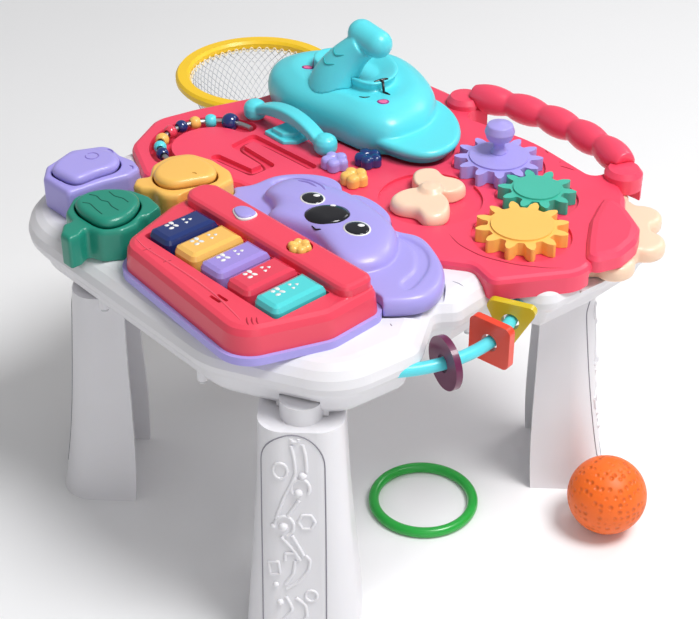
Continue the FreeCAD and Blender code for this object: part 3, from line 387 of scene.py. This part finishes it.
def drawn(name, lines, place, radius, material, node, taper=False, rounds=3):
    """Round-backed lines on a node; place turns each pair of numbers into a point of its surface."""
    curve = bpy.data.curves.new(name, "CURVE")
    curve.dimensions = "3D"
    curve.bevel_depth = radius * MM
    curve.bevel_resolution = 3
    curve.use_fill_caps = True
    for points in lines:
        line = soft_line(points, rounds)
        spline = curve.splines.new("POLY")
        spline.points.add(len(line) - 1)
        for i, pair in enumerate(line):
            f = i / (len(line) - 1)
            spline.points[i].co = (*place(*pair), 1)
            spline.points[i].radius = 0.35 + 0.65 * math.sin(math.pi * min(1,
                                                                           f)) ** 0.6 if taper else 1.0
    obj = bpy.data.objects.new(name, curve)
    bpy.context.scene.collection.objects.link(obj)
    curve.materials.append(material)
    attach(obj, BODY_OF[node])
    return obj


def on_top(node, fallback=250.0, lift=0.0):
    tree = surface_of(node)
    return lambda x, y: at(x, y, drop(tree, x, y, fallback) + lift)


def pebble(name, points, rise, material, node, steps=6):
    """A small closed form: its outline scaled about its middle at each height."""
    rim = closed_curve(points, steps) if steps > 1 else points
    cx = sum(p[0] for p in rim) / len(rim)
    cy = sum(p[1] for p in rim) / len(rim)
    n = len(rim)
    verts = [at(cx + (x - cx) * k, cy + (y - cy) * k, z) for z, k in rise for x, y in rim]
    faces = [tuple(reversed(range(n))), tuple(range((len(rise) - 1) * n, len(rise) * n))]
    for r in range(len(rise) - 1):
        a, b = r * n, (r + 1) * n
        faces += [(a + i, a + (i + 1) % n, b + (i + 1) % n, b + i) for i in range(n)]
    return new_piece(name, verts, faces, material, BODY_OF[node])


def koala_face():
    tree = surface_of("koala_pad")
    for side, x, y, rx, ry in (("left", -39.5, -1, 8.6, 7.6), ("right", 14, -6, 9.2, 8.4)):
        sticker("koala_eye_white_" + side, oval(x, y, rx + 1.3, ry + 1.3), tree, 0.1, INK_WHITE,
                "koala_pad")
        sticker("koala_eye_" + side, oval(x, y, rx, ry), tree, 0.3, INK_BLACK, "koala_pad",
                crown=0.5)
        sticker("koala_eye_glint_" + side, oval(x - 0.2, y + 4.2, 2.6, 1.9, 0.8), tree, 0.85, INK_WHITE,
                "koala_pad")
    nose = [(-27, -20), (-29.5, -13), (-28, -5), (-23, 2), (-17, 6), (-10, 6.5), (-3, 3),
            (-0.5, -4), (-1, -11), (-6, -18.5), (-13, -22), (-21, -23)]
    sticker("koala_nose", nose, tree, 0.4, INK_BLACK, "koala_pad", crown=1.6)
    sticker("koala_nose_glint", oval(-19.5, 1.2, 2.2, 1.3, 0.7), tree, 1.75, INK_WHITE, "koala_pad")
    drawn("koala_smile", [[(-14, -24.5), (-8.5, -25.6), (-4.5, -24)]], on_top("koala_pad"), 0.75,
          INK_BLACK, "koala_pad", True)
    drawn("koala_hair", [[(-76, 10), (-68, 15), (-60, 18), (-50, 18), (-42, 14)],
                         [(-70, 10), (-60, 14), (-50, 13)]],
          on_top("koala_pad", lift=-0.7), 1.5, SHADE_LAVENDER, "koala_pad", True)


def elephant_face():
    tree = surface_of("elephant_drum")
    face = on_top("elephant_drum", 278.0)
    drawn("elephant_wink", [[(-113.5, 131), (-112, 137), (-109.5, 143)],
                            [(-112.5, 135.5), (-107, 137), (-101, 137)]],
          face, 1.3, INK_BLACK, "elephant_drum", True)
    drawn("elephant_eye", [[(-115, 116), (-111, 118), (-109.5, 123)]], face, 0.7, INK_BLACK,
          "elephant_drum", True)
    for k, (x, y) in enumerate(((-96, 124.5), (-184.3, 122.4))):
        sticker("elephant_cheek_rim_%d" % k, oval(x, y, 4.9, 3.9, 0.9), tree, 0.08, INK_PLUM,
                "elephant_drum")
        sticker("elephant_cheek_%d" % k, oval(x, y, 3.9, 2.9, 0.9), tree, 0.2, INK_BLUSH,
                "elephant_drum")
    trunk = surface_of("elephant_trunk")

    def trunk_front(x, z):
        hit = trunk.ray_cast(at(x, TRUNK_SIGHT_Y, z), Vector((0, 1, 0)))[0]
        return hit or at(x, TRUNK_AXIS_Y, z)

    drawn("trunk_creases", [[(-157, 300), (-149, 297), (-141, 299)],
                            [(-150, 308), (-143, 305), (-136, 307)]],
          trunk_front, 0.8, SHADE_CYAN, "elephant_trunk", True)


def block_marks():
    fish = on_top("fish_button", 268.0, -0.15)
    drawn("fish_scales", [
        [(-148, -123.5), (-142.5, -120.8), (-135, -122.2), (-129.7, -119.5), (-123.2, -121.6),
         (-114.5, -121.3)],
        [(-141.3, -110.5), (-133.4, -111.4), (-126.3, -108.6), (-119.5, -109.2)],
        [(-141.5, -134), (-136.8, -130.7), (-126.6, -132.4), (-118.3, -133.2)]], fish, 0.5, SHADE_TEAL,
          "fish_button", rounds=2)
    hippo = on_top("hippo_button", 268.0, -0.1)
    ring = [(-195 + 5.0 * math.cos(a), -88 + 5.0 * math.sin(a))
            for a in [k * 0.35 - 2.4 for k in range(17)]]
    drawn("hippo_nostril", [ring], hippo, 0.55, SHADE_LAVENDER, "hippo_button", rounds=1)
    drawn("hippo_ears", [[(-173, -69.5), (-169.5, -68.5), (-167, -70.5)],
                         [(-206, -66.5), (-202, -65.2), (-198, -66.4)]],
          on_top("hippo_base", 262.0, -0.1), 0.75, SHADE_LAVENDER, "hippo_base", True)
    drawn("chick_eye", [[(-122.5, -48), (-120.5, -46.4), (-118.6, -46.8)]],
          on_top("chick_button", 268.0, -0.1), 0.6,
          SHADE_YELLOW, "chick_button", True)


def key_icons():
    """Plain printed blobs, two groups on each key."""
    front = [(-3.6, 1.8, 2.9, 2.0), (1.6, 2.2, 2.6, 1.7), (-2.8, -2.4, 2.0, 1.7), (2.4, -2.2, 2.3, 1.8)]
    for key in ("key_navy", "key_yellow", "key_purple", "key_red", "key_cyan"):
        tree = surface_of(key)
        low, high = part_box(key)
        cx = (low[0] + high[0]) / 2 / MM - DECK_MIDDLE[0]
        cy = (low[1] + high[1]) / 2 / MM - DECK_MIDDLE[1]
        faint = key in ("key_yellow", "key_cyan")
        ink = INK_FAINT if faint else INK_WHITE
        for n, (ox, oy, rx, ry) in enumerate(front):
            sticker("%s_print_%d" % (key, n), oval(cx - 3 + ox, cy - 7 + oy, rx * 0.9, ry * 0.85,
                                                   0.5 * n, 10), tree, 0.1, ink,
                    BODY_OF[key], rings=2, steps=1)
        for n, (ox, oy) in enumerate(((-2.6, -1.5), (2.2, -2.4), (0.4, 2.3))):
            sticker("%s_spot_%d" % (key, n), [(cx - 2 + ox - 1.3, cy + 6 + oy - 1.1),
                                              (cx - 2 + ox + 1.4, cy + 6 + oy - 0.8),
                    (cx - 2 + ox, cy + 6 + oy + 1.4)], tree, 0.1, ink, BODY_OF[key],
                    rings=2, steps=3)


def piano_marks():
    case = on_top("piano_case", 262.0, -0.35)
    creases = [[(46 + 2.2 * k, -135 + 2.4 * k), (50 + 2.2 * k, -138.2 + 2.4 * k),
                (55 + 1.6 * k, -140.6 + 2.8 * k)]
               for k in range(3)]
    drawn("case_ribs", creases, case, 0.7, SHADE_RED, "piano_case", True)
    # The lip ridge is drawn in the lighter red as a painted highlight.
    drawn("case_lip", [[(-86, -128.5), (-70, -132.5), (-39, -131.8), (-16, -132), (11, -133.5),
                        (38, -138.5), (47, -140.5)]],
          on_top("piano_case", 262.0, -0.1), 0.8, CASE_HIGHLIGHT, "piano_case", True)
    drawn("case_stitches", [[(-67, -135.5), (-65, -130)], [(-45, -134.5), (-43, -129)]], case, 0.55,
          SHADE_RED, "piano_case")
    leaf = [(-55.9, -63.3), (-55.9, -56.4), (-49.1, -52.6), (-39.2, -53.9), (-38, -61.8), (-43.6, -67.9)]
    pebble("mode_button_rim", leaf, [(267.0, 1.0), (270.6, 1.0), (271.2, 0.96)], INK_WHITE,
           "mode_button")
    top = pebble("mode_button_leaf", leaf, [(267.5, 0.88), (271.4, 0.88), (272.2, 0.85), (272.5, 0.76)],
                 MATERIALS["lavender"],
                 "mode_button")
    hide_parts("mode_button")


def board_marks():
    board = on_top("play_board", 243.0, -0.3)
    drawn("board_creases", [
        [(40.6, 60.9), (56.9, 55.2), (78.6, 55.5), (103.2, 65.2), (121.4, 78.5), (130, 88)],
        [(3, 209.8), (9, 207.5)], [(24, 204), (25, 203)], [(28, 198.5), (34, 200.2), (42, 202)]],
        board, 0.7, SHADE_RED, "play_board", True)
    trail = [(-166, 9), (-128, 13), (-128, 31), (-170, 33), (-172, 52), (-104, 54)]
    drawn("maze_line", [trail], lambda x, y: at(x, y, 239.2), 0.9, SHADE_RED, "play_board", rounds=4)
    deck = on_top("upper_deck", 236.0, -0.25)
    drawn("deck_marks", [[(79.7, 24.6), (85, 25.8), (90, 26.6)], [(88.4, -44.5), (92, -45.9)]], deck,
          0.5, SHADE_WHITE,
          "upper_deck", True)


def handset_rest():
    """Stepped rest under the handset."""
    low = [(-170, 62), (-146, 61), (-138, 70), (-138, 88), (-170, 88)]
    high = [(-164, 65), (-150, 64.5), (-144, 72), (-144, 87), (-164, 87)]
    for name, corners, z0, z1 in (("rest_low", low, 242.5, 246.4), ("rest_high", high, 245.0, 250.4)):
        n = len(corners)
        verts = [at(x, y, z) for z in (z0, z1) for x, y in corners]
        faces = [tuple(reversed(range(n))), tuple(range(n, 2 * n))]
        faces += [(i, (i + 1) % n, n + (i + 1) % n, n + i) for i in range(n)]
        obj = new_piece("handset_" + name, verts, faces, MATERIALS["cyan"], "root", False)
        edge = obj.modifiers.new("soft edges", "BEVEL")
        edge.width = 1.2 * MM
        edge.segments = 3


# Legs: name, place, way out
LEGS = {"leg_front_left": (-162, -121, 225), "leg_front_right": (82, -121, 315),
        "leg_back_right": (82, 164, 45), "leg_back_left": (-162, 164, 135)}


PANEL_SHIFT = 5.0
LEG_SIGHT = 0.2
LEG_FALLBACK = 0.17


def ring_line(w, z, rw, rz, a0=0.0, a1=6.3, n=12):
    return [(w + rw * math.cos(a), z + rz * math.sin(a))
            for a in [a0 + (a1 - a0) * k / n for k in range(n + 1)]]


def leg_ornaments():
    """Raised vine, links and small shapes inside a long panel, as moulded on every leg."""
    panel = ring_line(0, 160, 22, 26, 0.0, math.pi, 16) + [(-22.5, 110), (-22.8, 30)]
    panel += ring_line(0, 26, 22.8, 14, math.pi, 2 * math.pi, 12)
    panel += [(22.5, 110), (22, 160)]
    bold = [[(-1, 178), (1, 168), (2, 156), (-1, 147), (-6.5, 135), (-12, 117.5)],
            [(6.8, 179), (9, 169), (9.4, 157)],
            [(-3.8, 120), (0.4, 127.4), (4, 133)], [(-8.8, 102), (-0.2, 90.6), (4.3, 82.2)],
            [(-1.2, 103.4), (6.8, 86.5)],
            [(8, 86.6), (11.4, 82.4), (10.2, 73.8), (3, 63.5), (-5.4, 57.5)],
            [(0.8, 82), (-0.5, 70.6), (-6.5, 61.6)],
            [(-6.2, 82), (-6.1, 88), (0.9, 88.5), (2.6, 83)],
            ring_line(5, 143, 6.4, 7.6, -0.6, 3.9), ring_line(-6.5, 111, 6.6, 8.4, -1.3, 3.2),
            ring_line(1.8, 183, 2.6, 2.2, 3.0, 6.3),
            [(1, 50), (8, 44), (9, 34), (2, 27)], [(-6, 51), (-1, 40), (-8, 31)]]
    rings = [ring_line(-8.6, 157, 5.0, 6.4), ring_line(9.2, 115, 6.0, 6.6, n=6),
             [(-18, 78.5), (-11, 80.5), (-9.8, 70.5), (-17, 68.4), (-18, 78.5)],
             ring_line(12, 52, 4.2, 4.6)]
    balls = [(6.8, 153.6, 3.0), (3.6, 139.4, 3.2), (-7, 110.6, 3.6), (-14, 110.6, 2.2), (-13, 61, 2.2),
             (-10, 46, 2.6)]
    for leg, (x, y, a) in LEGS.items():
        tree = surface_of(leg)
        out = Vector((math.cos(math.radians(a)), math.sin(math.radians(a)), 0))
        side = Vector((-out.y, out.x, 0))

        def place(w, z, lift=0.0):
            start = at(x, y, z) + side * (w - PANEL_SHIFT) * MM + out * LEG_SIGHT
            hit = tree.ray_cast(start, -out)[0]
            return (hit or start - out * LEG_FALLBACK) + out * lift * MM

        drawn(leg + "_panel", [panel], place, 0.5, SHADE_WHITE, leg, rounds=2)
        drawn(leg + "_vine", bold, place, 1.3, MATERIALS["shell_white"], leg, rounds=2)
        drawn(leg + "_shapes", rings, place, 1.1, MATERIALS["shell_white"], leg, rounds=0)
        verts = []
        faces = []
        for w, z, r in balls:
            mesh = bmesh.new()
            bmesh.ops.create_icosphere(mesh, subdivisions=2, radius=r * MM)
            base = len(verts)
            verts += [place(w, z) + v.co for v in mesh.verts]
            faces += [tuple(base + v.index for v in f.verts) for f in mesh.faces]
            mesh.free()
        new_piece(leg + "_berries", verts, faces, MATERIALS["shell_white"], BODY_OF[leg])


# Middle of the hoop, and the hanging outline of its net as radius and height
HOOP = (-313.0, 173.0)
NET_PROFILE = [(63.0, 206.5), (59.5, 195), (54, 181), (47, 168), (39, 157), (28, 150.8), (15, 149),
               (3, 148.6)]
STRANDS = 58
NET_TWIST = 1.35
CORD_RADIUS = 0.5
CORD_SIDES = 4


def net_bag():
    """Diamond net: two families of cords wound opposite ways round the bag."""
    verts = []
    faces = []
    spans = len(NET_PROFILE) - 1
    n = CORD_SIDES * spans
    stops = np.linspace(0, spans, n + 1)
    radii = np.interp(stops, range(spans + 1), [p[0] for p in NET_PROFILE])
    heights = np.interp(stops, range(spans + 1), [p[1] for p in NET_PROFILE])
    for way in (-1, 1):
        for k in range(STRANDS):
            base = len(verts)
            for i in range(n + 1):
                a = 2 * math.pi * k / STRANDS + way * NET_TWIST * (i / n)
                out = Vector((math.cos(a), math.sin(a), 0))
                middle = at(HOOP[0], HOOP[1], heights[i]) + out * radii[i] * MM
                for c in range(4):
                    t = math.pi / 2 * c
                    verts.append(middle + (out * math.cos(t) + Vector((0, 0,
                                                                       1)) * math.sin(t)) * CORD_RADIUS * MM)
            for i in range(n):
                for c in range(4):
                    p = base + 4 * i
                    d = (c + 1) % 4
                    faces.append((p + c, p + d, p + 4 + d, p + 4 + c))
    net = new_piece("net_bag", verts, faces, MATERIALS["net_cord"], BODY_OF["hoop_net"])
    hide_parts("hoop_net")
    wave = [(a, 0.5 - 0.5 * math.cos(a * 52)) for a in [2 * math.pi * k / 624 for k in range(625)]]
    drawn("hoop_trim", [wave], lambda a, f: at(HOOP[0] + (61.4 - 1.2 * f) * math.cos(a),
                                               HOOP[1] + (61.4 - 1.2 * f) * math.sin(a),
                                               208.8 - 3.6 * f), 0.55, TRIM, "hoop_ring", rounds=0)


SOFTENED = {"koala_pad": 0.9, "elephant_drum": 1.0, "elephant_trunk": 0.8, "handset": 0.7,
            "heart_spinner": 0.6,
            "flower_purple": 0.45, "flower_yellow": 0.45, "flower_navy": 0.45, "hippo_base": 0.7,
            "hippo_button": 0.6,
            "chick_base": 0.7, "chick_button": 0.6, "fish_base": 0.7, "fish_button": 0.6,
            "volume_button": 0.4,
            "crank_knob": 0.5, "carry_handle": 0.9, "finger_wheel": 1.0}
KEY_NODES = ("key_navy", "key_yellow", "key_purple", "key_red", "key_cyan")
EDGED = {"play_board": 1.0, "upper_deck": 1.0, "piano_case": 0.9, "lower_tray": 0.8, "purple_gear": 0.7,
         "green_gear": 0.7,
         "yellow_gear": 0.7, "rail_disc": 0.6, "rail_square": 0.6, "rail_triangle": 0.6}


def soften_nodes():
    """Moulding radii: small forms are smoothed all over, large ones along their edges."""
    for name, size in SOFTENED.items():
        obj = frame["nodes"][name]
        grid = obj.modifiers.new("even grid", "REMESH")
        grid.mode = "VOXEL"
        grid.voxel_size = size * MM
        grid.use_smooth_shade = True
        relax = obj.modifiers.new("moulding radii", "SMOOTH")
        relax.factor = 0.5
        relax.iterations = 12
    for name, width in list(EDGED.items()) + [(key, 1.5) for key in KEY_NODES]:
        obj = frame["nodes"][name]
        edge = obj.modifiers.new("moulding radii", "BEVEL")
        edge.width = width * MM
        edge.segments = 3
        edge.limit_method = "ANGLE"
        edge.angle_limit = math.radians(38)
        edge.harden_normals = True


def set_stage():
    floor_size = 6.0
    mesh = bpy.data.meshes.new("floor")
    s = floor_size
    mesh.from_pydata([(-s, -s, 0), (s, -s, 0), (s, s, 0), (-s, s, 0)], [], [(0, 1, 2, 3)])
    floor = bpy.data.objects.new("floor", mesh)
    bpy.context.scene.collection.objects.link(floor)
    m = Shader("pale floor")
    soft = m.noise(3.0)
    m.set(Base_Color=m.blend(soft, (0.88, 0.88, 0.89), (0.91, 0.91, 0.92)), Roughness=soft * 0.1 + 0.75)
    mesh.materials.append(m.material)


def add_light(name, place, aim, size, power, colour=(1, 1, 1)):
    data = bpy.data.lights.new(name, "AREA")
    data.shape = "DISK"
    data.size = size
    data.energy = power
    data.color = colour
    obj = bpy.data.objects.new(name, data)
    bpy.context.scene.collection.objects.link(obj)
    obj.location = place
    obj.rotation_euler = (Vector(aim) - Vector(place)).to_track_quat("-Z", "Y").to_euler()


def set_light():
    world = bpy.data.worlds.new("studio")
    bpy.context.scene.world = world
    world.use_nodes = True
    tree = world.node_tree
    back = tree.nodes["Background"]
    rays = tree.nodes.new("ShaderNodeLightPath")
    seen = tree.nodes.new("ShaderNodeMath")
    seen.operation = "MAXIMUM"
    tree.links.new(rays.outputs["Is Camera Ray"], seen.inputs[0])
    tree.links.new(rays.outputs["Is Transmission Ray"], seen.inputs[1])
    level = tree.nodes.new("ShaderNodeMapRange")
    tree.links.new(seen.outputs[0], level.inputs[0])
    level.inputs[3].default_value = 0.34
    level.inputs[4].default_value = 1.0
    tree.links.new(level.outputs[0], back.inputs["Strength"])
    back.inputs["Color"].default_value = (1.0, 1.0, 1.0, 1)
    aim = at(0, 0, 220)
    add_light("key light", (1.1, 0.35, 2.3), aim, 1.0, 50.0)
    add_light("fill light", (1.7, -0.9, 1.1), aim, 1.4, 4.0)
    add_light("rim light", (0.2, 1.9, 1.6), aim, 0.8, 8.0)


def set_camera():
    back = Vector((math.sin(CAMERA_TURN) * math.cos(CAMERA_HEIGHT),
                   -math.cos(CAMERA_TURN) * math.cos(CAMERA_HEIGHT),
                   math.sin(CAMERA_HEIGHT)))
    right = Vector((math.cos(CAMERA_TURN), math.sin(CAMERA_TURN), 0))
    up = back.cross(right)
    reach = FOCAL_PX / PX_PER_MM * MM
    off_x = (AIM_PX[0] - PICTURE[0] / 2) * reach / FOCAL_PX
    off_y = (AIM_PX[1] - PICTURE[1] / 2) * reach / FOCAL_PX
    data = bpy.data.cameras.new("camera")
    data.sensor_width = SENSOR
    data.lens = SENSOR * FOCAL_PX / PICTURE[0]
    data.clip_start = 0.05
    camera = bpy.data.objects.new("camera", data)
    bpy.context.scene.collection.objects.link(camera)
    place = at(*AIM) + back * reach - right * off_x + up * off_y
    camera.matrix_world = Matrix.Translation(place) @ Matrix((right, up, back)).transposed().to_4x4()
    bpy.context.scene.camera = camera
    bpy.context.scene.view_settings.view_transform = "Standard"


set_camera()
set_light()
set_stage()
dress_nodes()
koala_face()
elephant_face()
block_marks()
key_icons()
piano_marks()
board_marks()
handset_rest()
leg_ornaments()
net_bag()
soften_nodes()
